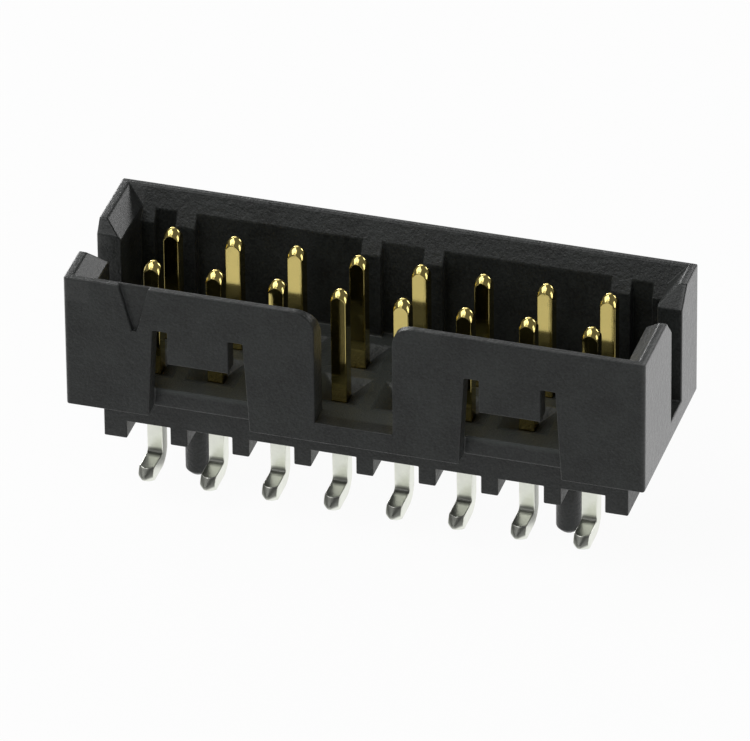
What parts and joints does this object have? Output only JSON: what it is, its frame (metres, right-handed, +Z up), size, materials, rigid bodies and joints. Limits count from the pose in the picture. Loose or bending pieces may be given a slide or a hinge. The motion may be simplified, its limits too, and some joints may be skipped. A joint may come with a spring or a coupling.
{
  "type": "shrouded pin header",
  "caption": "Upright shrouded surface-mount pin header: a black keyed housing with latch windows, end slots and locating pegs around rows of square gold pins with short solder feet.",
  "frame": {"origin": "middle of the footprint, on the board face that the solder feet stand on", "axes": "+X along the contact rows, -Y towards the keyed front wall with the latch windows, +Z up out of the shroud"},
  "size_m": [0.0186, 0.006, 0.0084],
  "materials": {
    "housing": "black moulded plastic with a fine semi-matte grain",
    "contact": "gold-plated pin, tin-plated solder foot"
  },
  "bodies": {
    "root": {"housing": "housing", "contact_front_1": "contact", "contact_front_2": "contact", "contact_front_3": "contact", "contact_front_4": "contact", "contact_front_5": "contact", "contact_front_6": "contact", "contact_front_7": "contact", "contact_front_8": "contact", "contact_back_1": "contact", "contact_back_2": "contact", "contact_back_3": "contact", "contact_back_4": "contact", "contact_back_5": "contact", "contact_back_6": "contact", "contact_back_7": "contact", "contact_back_8": "contact"}
  },
  "joints": []
}
